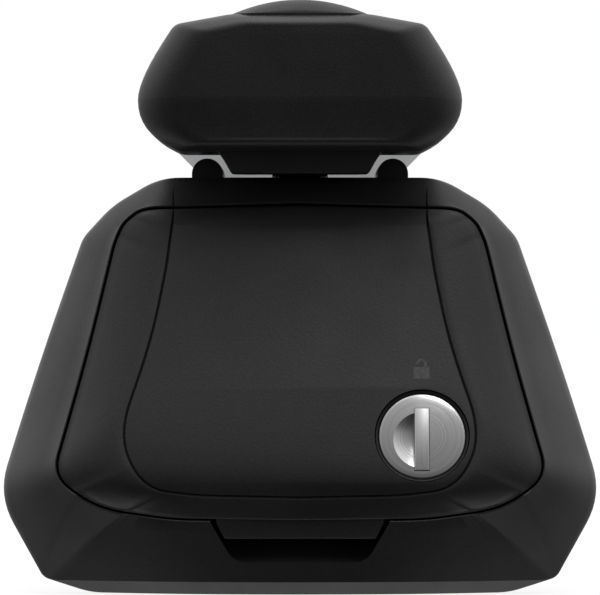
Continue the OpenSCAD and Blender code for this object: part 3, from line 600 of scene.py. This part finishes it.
# Each finish: its maker, its material's name, its colour among RackFinishes and its other settings
SURFACES = {
    "plastic": (moulded_plastic, "moulded_black_plastic", "plastic", (0.46,)),
    "strip_end": (moulded_plastic, "moulded_soft_black", "hump", (0.55,)),
    # Lock ring finish: its own black, darkened further as painted shade of the gap round the core
    "ring": (moulded_plastic, "lock_ring_black", "ring", (0.6, 0.8, 0.006)),
    "print": (moulded_plastic, "printed_grey", "print_grey", (0.5, 0.6, 0.006)),
    "rubber": (rubber, "extruded_rubber", "rubber", ()),
    "turned": (turned_steel, "turned_lock_steel", "steel", (0.2,)),
    "flap": (drawn_metal, "brushed_key_flap", "steel", (0.34, 0.25, (1.0, 0.03, 0.03), 0.08)),
    "plated": (drawn_metal, "zinc_plated_steel", "plated", (0.28, 0.7, (1.0, 0.2, 1.0))),
    "bar": (drawn_metal, "anodised_aluminium", "bar", (0.38, 0.6, (1.0, 0.01, 1.0), 0.06)),
    "cast": (coated_casting, "coated_casting", "cast", ()),
}
_made = {}


def surface(kind):
    """A finish, which is made once."""
    if kind not in _made:
        maker, name, colour, settings = SURFACES[kind]
        _made[kind] = maker(name, getattr(bpy.context.scene.rack_finishes, colour), *settings)
    return _made[kind]


# Operators

class RACK_OT_cover(bpy.types.Operator):
    """Build the hinged cover with its middle panel, grip lip and lock bore"""
    bl_idname = "rack.cover"
    bl_label = "Hinged cover"

    def execute(self, context):
        sizes, lock = context.scene.rack_foot, context.scene.rack_lock
        front = FootFront(sizes)
        wall, half, deep = sizes.cover_wall / MM, sizes.groove_width / MM, sizes.groove_depth / MM
        section = ((-1.2, 0), (-0.7, 0.12), (-0.35, 0.75), (0, 1), (0.35, 0.75), (0.7, 0.12), (1.2, 0))
        edge = ((0.3, 0), (0.16, 0.03), (0.06, 0.1), (0, 0.22), (0, 0.6), (0, wall - 0.3))
        rings = [front.groove_ring(out * half, back * deep) for out, back in section]
        rings += [front.ring(f) for f in (0.08, 0.16, 0.24, 0.32, 0.4, 0.45)]
        rings += [front.ring(SEAM, -out, back) for out, back in edge]
        rings += [front.ring(f, 0, wall) for f in (0.35, 0.2, 0)]
        cover = loft("hinged_cover", rings)
        grip = self.grip(front)
        clear, through = 0.12, 24
        bore = tube("bore", TURN_STEPS, lock.ring / MM + clear, through, (0, 0, 0))
        bore.data.transform(lock_frame(lock))
        combine(cover, bore)
        for side in (-1, 1):
            combine(cover, groove_blade(front, side, 73.6, 78.5, deep))
        hinge_y, hinge_z = front.hinge
        low, high, skin, deepest, beside = 71, 78.6, 0.9, hinge_y + 8, 0.4
        for side in (-1, 1):
            slot = prism_piece("slot", [(front.at(low) + skin, low), (front.at(high) + skin, high),
                                        (deepest, high), (deepest, low)],
                               *sorted((side * (EAR_NEAR - beside), side * (EAR_FAR + beside))), "x")
            combine(cover, slot)
        barrel = 2.1
        barrels = [hinge_tube("barrel", hinge_y, hinge_z, barrel, start, end)
                   for start, end in ((-13.5, 13.5), (-22, -18.5), (18.5, 22))]
        join(cover, grip, *barrels)
        finish_piece(cover, surface("plastic"), "cover", ("cover",), angle=34)
        return {"FINISHED"}

    @staticmethod
    def grip(front):
        """The lip under the cover that fingers pull on."""
        top, foot = 17.3, 11.3
        grip = prism_piece("grip", [(-16.7, 17.1), (16.7, 17.1), (16.7, 14.5), (15.1, foot), (-15.1, foot),
                                    (-16.7, 14.5)], 0, 30)
        slab = prism_piece("slab", [(front.at(top) + 0.55, top), (front.at(foot) + 0.6, 11.0),
                                    (front.at(foot) + 2.7, 11.0), (front.at(top) + 2.6, top)], -40, 40, "x")
        combine(grip, slab, "INTERSECT")
        soften(grip, 0.35)
        return grip


def groove_blade(front, side, low, high, deep):
    """Cutter for the straight end of the groove, which runs up over the cover's edge and the frame."""
    section = ((-0.34, -0.9), (-0.25, 0), (-0.1, 1.1 * deep), (0, 1.3 * deep), (0.1, 1.1 * deep), (0.25, 0),
               (0.34, -0.9), (0, -1))
    steps, half_width = 8, 22
    rings = []
    for k in range(steps + 1):
        z = low + (high - low) * k / steps
        x = GROOVE_TOP_X + 0.1 * max(0, 76 - z)
        if z < SEAM_TOP:
            f = SEAM * (z - GROOVE_TOP) / (SEAM_TOP - GROOVE_TOP)
        else:
            f = SEAM + (SILHOUETTE - SEAM) * (z - SEAM_TOP) / (FOOT_TOP - SEAM_TOP)
        lift = front.at(z) + front.flank * (half_width * max(0, f)) ** 2
        rings.append([Vector((side * (x + a), lift + b, z)) for a, b in section])
    return loft("blade", rings)


def lock_frame(lock):
    """Matrix from the lock's own frame, with +Z outwards along its axis, to the left foot's place."""
    front = FootFront(bpy.context.scene.rack_foot)
    z = lock.height / MM
    span = lock.ring / MM * math.cos(lock.tilt)
    sunk = 0.3
    y = (front.at(z - span) + front.at(z + span)) / 2 + sunk
    turn = Matrix.Rotation(math.pi / 2 - lock.tilt, 4, "X")
    return Matrix.Translation(row_point((lock.across / MM, y, z))) @ turn


class RACK_OT_foot(bpy.types.Operator):
    """Build the moulded foot with its window, finger recess, rail channel and hinge ears"""
    bl_idname = "rack.foot"
    bl_label = "Moulded foot"

    def execute(self, context):
        sizes = context.scene.rack_foot
        front = FootFront(sizes)
        deep = sizes.groove_depth / MM
        foot = loft("moulded_foot", self.rings(front, sizes), closed=True)
        self.chamfer_base(foot, sizes.band / MM)
        low, high, skin, inner, half = 2.5, SEAM_FOOT, 2.5, 17, 19.5
        pocket = prism_piece("pocket", [(front.at(high) + skin, high), (front.at(low) + skin, low),
                                        (inner, low), (inner, high)], -half, half, "x")
        combine(foot, pocket, "UNION")
        combine(foot, self.finger_cutter())
        rail = prism_piece("rail", [(34, -5), (34, 35), (34.4, 36.5), (35.5, 37.6), (37, 38), (95, 38),
                                    (95, -5)], -80, 80, "x")
        combine(foot, rail)
        combine(foot, block("top", row_point((-22.4, 30, 79.4)), row_point((22.4, 95, 90))))
        for side in (-1, 1):
            combine(foot, groove_blade(front, side, 77.6, 82.2, deep))
        join(foot, *self.ears(front))
        finish_piece(foot, surface("plastic"), "foot", ("housing",), angle=24)
        return {"FINISHED"}

    @classmethod
    def rings(cls, front, sizes):
        """From the window's inner edge over the front, back along the sides, round the rim and in again."""
        gap, wall, back = sizes.seam / MM, sizes.wall / MM, FOOT_BACK / MM
        undercut, soft_edge = ((wall, 2), (0.9, 0.3), (0.24, 0)), ((0.07, 0.1), (0.17, 0.03), (0.32, 0))
        rim_round, rim_wide = 0.3, 1
        corner, inner = front.ring(SILHOUETTE), front.ring(0.85)
        radii = [cls.edge_radius(p, sizes.edge / MM) for p in front.silhouette]
        starts = [c.lerp(i, min(0.9, r / max(0.01, (c - i).length))) for c, i, r in zip(corner, inner, radii)]
        ends = [c + Vector((0, r, 0)) for c, r in zip(corner, radii)]
        rim, shell = outset(front.inside, -rim_wide), outset(front.inside, -wall)
        window, seam = outset(front.seam, gap), front.ring(SEAM)
        top, fade = 78.2, 9
        rings = [[Vector((p.x, q.y + depth, p.y + rise * max(0, 1 - (top - p.y) / fade)))
                  for p, q in zip(window, seam)] for depth, rise in undercut]
        rings += [front.ring(SEAM, gap + out, depth) for out, depth in soft_edge]
        rings += [front.ring(f) for f in (0.6, 0.66, 0.72, 0.78, 0.84)]
        rings += [[curve(s, c, e, t) for s, c, e in zip(starts, corner, ends)]
                  for t in (0, 0.2, 0.4, 0.6, 0.8, 1)]
        rings += [[Vector((p.x, max(q.y + 0.5, y), p.y)) for p, q in zip(front.silhouette, ends)]
                  for y in (32, 40, 60, back - 1)]
        rings += [at_depth(outset(front.silhouette, -rim_round), back - rim_round), at_depth(rim, back),
                  at_depth(shell, back), [Vector((p.x, c.y + 1.5, p.y)) for p, c in zip(shell, corner)],
                  front.ring(0.72, -0.5, wall)]
        return rings

    @staticmethod
    def edge_radius(p, radius):
        """Crisp along the base, soft up the sides, firmer along the top."""
        crisp, crisp_to, soft_from = 0.35, 1, 14
        firm, firm_from, firm_to = 1.3, 70, 80
        if p.y < firm_from:
            return crisp + (radius - crisp) * max(0, min(1, (p.y - crisp_to) / (soft_from - crisp_to)))
        return radius + (firm - radius) * min(1, (p.y - firm_from) / (firm_to - firm_from))

    @staticmethod
    def chamfer_base(foot, band):
        """Cuts the front at the band's top edge and leans the band back."""
        choose(foot)
        bpy.ops.object.mode_set(mode="EDIT")
        bpy.ops.mesh.select_all(action="SELECT")
        bpy.ops.mesh.bisect(plane_co=(0, 0, band * MM), plane_no=(0, 0, 1))
        mesh = bmesh.from_edit_mesh(foot.data)
        reach, slope = row_point((0, 36, 0)).y, 1.1
        for v in mesh.verts:
            if v.co.z < band * MM and v.co.y < reach:
                v.co.y += slope * (band * MM - v.co.z)
        bmesh.update_edit_mesh(foot.data)
        bpy.ops.object.mode_set(mode="OBJECT")

    @staticmethod
    def finger_cutter():
        """The recess for the fingers: a trapezoid mouth that runs back into a round scoop."""
        foot, edge, scoop, centre = 6.6, 14.7, 10, 6
        mouth = whole(half_outline((0, 17.5), ((17.9, 17.5, 0), (17.9, edge, 0.4), (13.2, foot, 2.6)),
                                   (0, foot), 8, 2))
        rings = []
        for y in (-2, 4, 6, 8, 10, 11.9, 12.6, 13.3, 13.9, 14.5, 15, 15.4, 15.7):
            low = edge - math.sqrt(max(0, scoop ** 2 - max(0, y - centre) ** 2))
            rings.append([Vector((p.x, y, max(p.y, low + 0.15 * (p.y - foot) * (y > 11)))) for p in mouth])
        return loft("recess", rings)

    @staticmethod
    def ears(front):
        """The two arms that hold the cover's hinge wire."""
        y, z = front.hinge
        made = []
        for side in (-1, 1):
            low, high = sorted((side * EAR_NEAR, side * EAR_FAR))
            arm = prism_piece("arm", [(y, z - 1.3), (y + 5.8, z - 1.3), (y + 5.8, 81.9), (y + 3.1, 81.9),
                                      (y + 3.1, z + 0.4), (y, z + 0.4)], low, high, "x")
            soften(arm, 0.25, 40, 2)
            made += [arm, hinge_tube("knuckle", y, z, 1.3, low, high)]
        return made


class RACK_OT_end_caps(bpy.types.Operator):
    """Build the bar's end caps with their soft sides, keel lip and the hump over the strip"""
    bl_idname = "rack.end_caps"
    bl_label = "End caps"

    def execute(self, context):
        sizes = context.scene.rack_cap
        wall, sleeve, soft = sizes.wall / MM, sizes.sleeve / MM, sizes.side_round / MM
        body = whole(half_outline((0, BAR_TOP), BAR_CORNERS, (0, BAR_BODY)))
        outer = whole(half_outline((0, BAR_TOP + wall), CAP_CORNERS, (0, BAR_BODY - wall)))
        steps, clear = 12, 0.1
        rings = [self.section(outer, k * 90 / steps, soft) for k in range(steps + 1)]
        rings += [at_depth(outer, y) for y in (12, 30, sleeve - 0.4)]
        cap = loft("cap_on_bar", rings + [at_depth(outset(outer, -0.4), sleeve)])
        combine(cap, prism_piece("hollow", outset(body, clear), sizes.face / MM, sleeve + 5))
        lip = self.lip(sizes, wall)
        keel_front = 8.9
        keel = prism_piece("keel", [(-12.7, 84.5), (-14, 90), (14, 90), (12.7, 84.5)], keel_front, sleeve + 5)
        second_keel = doubled(keel)
        combine(cap, keel)
        combine(lip, second_keel)
        join(cap, lip)
        finish_piece(cap, surface("plastic"), "bar", ("end_cap",), angle=36)
        finish_piece(self.hump(sizes, wall), surface("strip_end"), "bar", angle=50)
        return {"FINISHED"}

    @staticmethod
    def section(outer, degrees, soft):
        """A quarter turn from the face to the sleeve: broad at the sides, tight above and below."""
        a = math.radians(degrees)
        inset, depth = soft * (1 - math.sin(a)) ** 0.9, soft * 0.8 * (1 - math.cos(a)) ** 1.15
        middle, half_high, half_wide, tight = (BAR_TOP + BAR_BODY) / 2, (BAR_TOP - BAR_BODY) / 2, 31.2, 0.27
        kx, kz = 1 - inset / half_wide, 1 - tight * inset / half_high
        lean_from, slope = 98.7, 0.12
        ring = []
        for p in outer:
            z = middle + (p.y - middle) * kz
            lean = slope * max(0, lean_from - z) * (1 - math.sin(a))
            ring.append(Vector((p.x * kx, depth + lean, z)))
        return ring

    @staticmethod
    def lip(sizes, wall):
        """The lip round the bar's keel, set back under the cap's face."""
        top, foot = BAR_BODY - wall / 2, BAR_KEEL - 0.6
        outline = whole(half_outline((0, top), ((16.8, top, 0), (15.2, BAR_BODY - wall - 1.7, 0.9),
                                                (13.7, foot, 0.7)), (0, foot), 6, 2))
        start, end = sizes.lip_front / MM, sizes.lip_end / MM
        return loft("lip", [at_depth(outset(outline, -inset), y) for y, inset in (
            (start, 0.35), (start + 0.1, 0.12), (start + 0.35, 0), (end, 0))])

    @staticmethod
    def hump(sizes, wall):
        """The dark moulded end of the strip, domed and rounded at its nose."""
        base, high = BAR_TOP + wall, sizes.hump / MM
        steps, half_wide, start, nose = 15, 13.6, 3, 9
        rings = []
        for up in (0.03, 0.15, 0.3, 0.45, 0.6, 0.75, 0.9, 1):
            rise = math.sin(up * math.pi / 2)
            width = half_wide * (0.7 + 0.3 * rise)
            half = [Vector((width * k / steps, base + high * rise * (1 - (k / steps) ** 2)))
                    for k in range(steps + 1)]
            half += [Vector((width, base - wall / 2)), Vector((0, base - wall / 2))]
            rings.append(at_depth(whole(half), start + nose * (1 - math.cos(up * math.pi / 2))))
        rings.append([Vector((p.x, sizes.sleeve / MM - 0.5, p.z)) for p in rings[-1]])
        return loft("strip_end", rings)


class RACK_OT_lock(bpy.types.Operator):
    """Build the lock's ring, darkened with painted gap shade, the turned core with its half-moon scoop, and
    the key flap
    """
    bl_idname = "rack.lock"
    bl_label = "Lock"

    def execute(self, context):
        lock = context.scene.rack_lock
        place = lock_frame(lock)
        ring, core, tail = lock.ring / MM, lock.core / MM, -lock.sleeve / MM
        bezel = turned_piece("lock_ring", [
            (ring, tail), (ring, -4.6), (ring + 1.3, -4.6), (ring + 1.3, -3), (ring, -3), (ring, -0.3),
            (ring - 0.04, -0.14), (ring - 0.12, -0.06), (ring - 0.22, -0.12), (core + 0.1, -0.42),
            (core + 0.06, -0.55), (core + 0.06, tail + 1.2), (core - 1.5, tail + 1.2), (core - 1.5, tail)])
        bezel.data.transform(place)
        # Near-black ring: its own black plus painted shade of the gap round the core
        finish_piece(bezel, surface("ring"), "cover", ("lock_housing",), angle=40)
        body = self.core(core, tail)
        body.data.transform(place)
        finish_piece(body, surface("turned"), "lock", ("lock_core",), angle=30)
        flap = self.lock_block("sprung_flap", (-1.5, -7.04, -2.1), (1.4, 5.64, 0.14))
        soften(flap, 0.16, 40, 3)
        flap.data.transform(place)
        finish_piece(flap, surface("flap"), "key_flap", ("key_shutter",), angle=40)
        self.padlock_symbol(context)
        return {"FINISHED"}

    @classmethod
    def core(cls, core, tail):
        """The turning core: a slightly domed face with the key slot and a half-moon scoop beside it."""
        face = -0.25
        body = turned_piece("turning_core", [
            (0, face + 0.34), (2, face + 0.32), (4, face + 0.26), (6, face + 0.16), (7.4, face + 0.06),
            (core - 0.3, face - 0.02), (core - 0.12, face - 0.07), (core - 0.02, face - 0.17),
            (core, face - 0.4), (core, tail + 1.3), (core - 1.6, tail + 1.3), (core - 1.6, tail - 0.1),
            (2.9, tail - 0.1), (2.9, tail - 1.7), (0, tail - 1.7)])
        combine(body, cls.lock_block("slot", (-1.58, -7.12, -6), (1.48, 5.72, 2)))
        bowl, brim = 11.8, 5.75
        bottom = face + 0.17 + math.sqrt(bowl ** 2 - brim ** 2)
        scoop = turned_piece("scoop", [(r, bottom - math.sqrt(bowl ** 2 - r ** 2))
                                       for r in (0, 1.2, 2.4, 3.5, 4.4, 5.1, brim)]
                             + [(brim, face + 1.2), (0, face + 1.2)])
        lowered = -0.86 * MM
        scoop.data.transform(Matrix.Translation((0, lowered, 0)))
        combine(scoop, cls.lock_block("keep", (-9, -9, -4), (-1.5, 9, 4)), "INTERSECT")
        combine(body, scoop)
        hole, start, end = 1.26, tail - 0.5, tail - 4
        combine(body, turned_piece("hole", [(0, start), (hole, start), (hole, end), (0, end)]))
        return body

    @staticmethod
    def lock_block(name, low, high):
        """A block in the lock's own frame, in millimetres."""
        return block(name, Vector(low) * MM, Vector(high) * MM)

    @staticmethod
    def padlock_symbol(context):
        """A plain open padlock printed on the cover above the lock."""
        front = FootFront(context.scene.rack_foot)
        centre, outer, inner, foot = Vector((24.16, 46.0)), 1.14, 0.6, 45.4
        arc = [Vector((math.cos(a), math.sin(a))) for a in map(math.radians, range(0, 181, 10))]
        body = [(22.58, 43.1), (22.58, 45.5), (25.8, 45.5), (25.8, 43.1)]
        shackle = [Vector((centre.x + outer, foot)), *(centre + p * outer for p in arc),
                   *(centre + p * inner for p in reversed(arc)), Vector((centre.x + inner, foot))]
        plates = []
        for shape in (body, shackle):
            plate = prism_piece("symbol", shape, 0, 1)
            middle, proud, sunk = row_point((0, 0.5, 0)).y, -0.03, 0.3
            for v in plate.data.vertices:
                lift = proud if v.co.y < middle else sunk
                v.co.y = row_point((0, front.at(v.co.z / MM) + lift, 0)).y
            plates.append(plate)
        join(*plates)
        plates[0].name = "padlock_symbol"
        finish_piece(plates[0], surface("print"), "cover", angle=30)


class RACK_OT_finishes(bpy.types.Operator):
    """Give every exact part that stays in view its finish"""
    bl_idname = "rack.finishes"
    bl_label = "Finishes"

    def execute(self, context):
        parts = {
            "bar": "bar", "rubber": "top_strip saddle_pad outer_pad jaw_pad", "cast": "chassis jaw bar_clamp",
            "plated": "hinge_pin lock_cam cam_screw clamp_pins tension_screw tension_washer jaw_nut",
        }
        kinds = {part: kind for kind, names in parts.items() for part in names.split()}
        for name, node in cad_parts.items():
            kind = kinds.get(name.removeprefix("left_").removeprefix("right_"), "plastic")
            node.data.materials.clear()
            node.data.materials.append(surface(kind))
        return {"FINISHED"}


class RACK_OT_stage(bpy.types.Operator):
    """Set up the pale studio floor, the soft lamps and the camera"""
    bl_idname = "rack.stage"
    bl_label = "Studio"

    def execute(self, context):
        self.floor(context)
        self.sky(context)
        self.softbox("top_softbox", (0, -0.65, 1.0), (0, -0.55, 0.08), 0.8, 3.0)
        self.softbox("front_softbox", (0.25, -1.55, 1.1), (0, -0.58, 0.04), 0.38, 1.8)
        self.camera(context)
        return {"FINISHED"}

    @staticmethod
    def floor(context):
        """A floor that only the camera sees, so that it throws no light up on the foot."""
        clear_selection()
        size, below = 12, 0.0002
        bpy.ops.mesh.primitive_plane_add(size=size, location=(0, 0, -below))
        floor = context.object
        floor.name = "studio_floor"
        floor.visible_diffuse = floor.visible_glossy = False
        material, tree = new_material("studio_floor")
        colour, glowing, strength = linear(context.scene.rack_finishes.floor), 0.8, 1.1
        matt = add_node(tree, "ShaderNodeBsdfDiffuse", {"Color": colour})
        glow = add_node(tree, "ShaderNodeEmission", {"Color": (1, 1, 1, 1), "Strength": strength})
        both = add_node(tree, "ShaderNodeMixShader", {0: glowing}, {1: matt.outputs[0], 2: glow.outputs[0]})
        add_node(tree, "ShaderNodeOutputMaterial", links={"Surface": both.outputs[0]})
        floor.data.materials.append(material)

    @staticmethod
    def sky(context):
        """A white studio that is darker in front of the object and low down. The camera sees plain white."""
        world = bpy.data.worlds.new("studio")
        context.scene.world = world
        world.use_nodes = True
        tree = world.node_tree
        tree.nodes.clear()
        way = add_node(tree, "ShaderNodeTexCoord").outputs["Generated"]
        front = (0, -0.944, -0.33)
        facing = add_node(tree, "ShaderNodeVectorMath", {1: front}, {0: way},
                          operation="DOT_PRODUCT").outputs["Value"]
        height = add_node(tree, "ShaderNodeSeparateXYZ", links={"Vector": way}).outputs["Z"]
        height = add_node(tree, "ShaderNodeMapRange", {"From Min": -1.0, "From Max": 1.0},
                          {"Value": height}).outputs["Result"]
        lights = ((facing, ((0.0, 1.0), (0.2, 0.82), (0.5, 0.42), (0.75, 0.24), (0.97, 0.06))),
                  (height, ((0.0, 1.0), (0.07, 0.9), (0.2, 0.3), (0.46, 0.45), (0.56, 1.0))))
        shades = [ramp(tree, source, [(at, (light, light, light, 1)) for at, light in stops])
                  for source, stops in lights]
        product = add_node(tree, "ShaderNodeVectorMath", links=dict(enumerate(shades)), operation="MULTIPLY")
        room = add_node(tree, "ShaderNodeBackground", {"Strength": 1.1}, {"Color": product.outputs["Vector"]})
        white = add_node(tree, "ShaderNodeBackground", {"Color": (1, 1, 1, 1), "Strength": 1.0})
        path = add_node(tree, "ShaderNodeLightPath")
        seen = add_node(tree, "ShaderNodeMath", links={0: path.outputs["Is Camera Ray"],
                                                       1: path.outputs["Is Transmission Ray"]},
                        operation="MAXIMUM")
        both = add_node(tree, "ShaderNodeMixShader", links={0: seen.outputs[0], 1: room.outputs[0],
                                                            2: white.outputs[0]})
        add_node(tree, "ShaderNodeOutputWorld", links={"Surface": both.outputs[0]})

    @staticmethod
    def softbox(name, place, aim, size, power):
        clear_selection()
        bpy.ops.object.light_add(type="AREA", location=place)
        lamp = bpy.context.object
        lamp.name = name
        lamp.rotation_euler = (Vector(aim) - Vector(place)).to_track_quat("-Z", "Y").to_euler()
        lamp.data.shape, lamp.data.size, lamp.data.energy = "SQUARE", size, power

    @staticmethod
    def camera(context):
        """Level with the cover and square to the foot. On a plane just behind the foremost ridge a pixel is
        as large as in the photograph."""
        clear_selection()
        distance, eye, plane, sensor = 1.6, 0.0635, 0.018, 36
        place = (0, -BAR_END + plane - distance, eye)
        bpy.ops.object.camera_add(location=place, rotation=(math.pi / 2, 0, 0))
        camera = context.object
        camera.name = "photo_camera"
        camera.data.sensor_width = sensor
        camera.data.lens = sensor * distance / (FRAME_WIDTH * PIXEL)
        camera.data.shift_y = (BASE_ROW - eye / PIXEL - FRAME_HEIGHT / 2) / FRAME_WIDTH
        camera.data.clip_start, camera.data.clip_end = 0.05, 20
        context.scene.camera = camera
        context.scene.view_settings.view_transform = "Standard"


class RACK_PT_panel(bpy.types.Panel):
    """Sizes, finishes and build steps of the crossbar"""
    bl_idname = "RACK_PT_panel"
    bl_label = "Roof Rack"
    bl_space_type = "VIEW_3D"
    bl_region_type = "UI"
    bl_category = "Roof Rack"

    def draw(self, context):
        for group in GROUPS:
            settings = getattr(context.scene, group)
            box = self.layout.box()
            for name in settings.__annotations__:
                box.prop(settings, name)
        for step in STEPS:
            self.layout.operator(step.bl_idname)


STEPS = (RACK_OT_finishes, RACK_OT_foot, RACK_OT_cover, RACK_OT_end_caps, RACK_OT_lock, RACK_OT_stage)
GROUPS = {"rack_foot": RackFootSizes, "rack_cap": RackCapSizes, "rack_lock": RackLockSizes,
          "rack_finishes": RackFinishes}
CLASSES = (*GROUPS.values(), *STEPS, RACK_PT_panel)


def register():
    for cls in CLASSES:
        bpy.utils.register_class(cls)
    for name, group in GROUPS.items():
        setattr(bpy.types.Scene, name, bpy.props.PointerProperty(type=group))


def unregister():
    for name in GROUPS:
        delattr(bpy.types.Scene, name)
    for cls in reversed(CLASSES):
        bpy.utils.unregister_class(cls)


def main():
    register()
    for step in STEPS:
        group, action = step.bl_idname.split(".")
        getattr(getattr(bpy.ops, group), action)()


if __name__ == "__main__":
    main()
